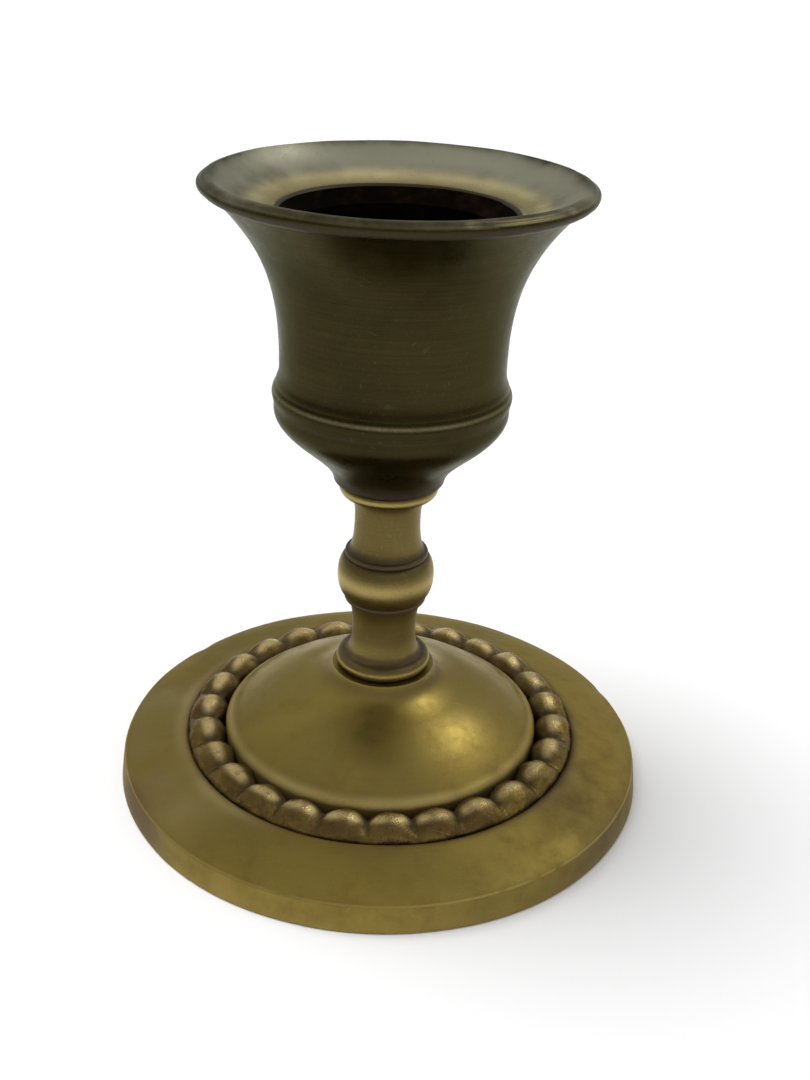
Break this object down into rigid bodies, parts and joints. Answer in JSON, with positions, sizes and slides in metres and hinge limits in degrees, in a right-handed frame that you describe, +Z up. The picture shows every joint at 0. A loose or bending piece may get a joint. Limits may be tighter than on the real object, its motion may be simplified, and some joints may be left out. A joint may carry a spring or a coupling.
{
  "type": "candlestick",
  "caption": "Short brass candlestick: round beaded foot, turned stem and flared bell-shaped cup with a raised ring and a candle socket.",
  "frame": {"origin": "on the axis, at the face that the foot rests on", "axes": "+Z up the axis, from the foot to the rim of the cup"},
  "size_m": [0.0552, 0.0552, 0.0628],
  "materials": {
    "cup_brass": "turned, dark grey-brown patina",
    "stem_brass": "turned, satin with brown patina",
    "foot_brass": "cast and turned, satin with olive patina",
    "fixing_steel": "plain steel, dull"
  },
  "bodies": {
    "root": {"candle_cup": "cup_brass", "stem": "stem_brass", "base": "foot_brass", "tie_rod": "fixing_steel", "washer": "fixing_steel", "hex_nut": "fixing_steel"}
  },
  "joints": []
}
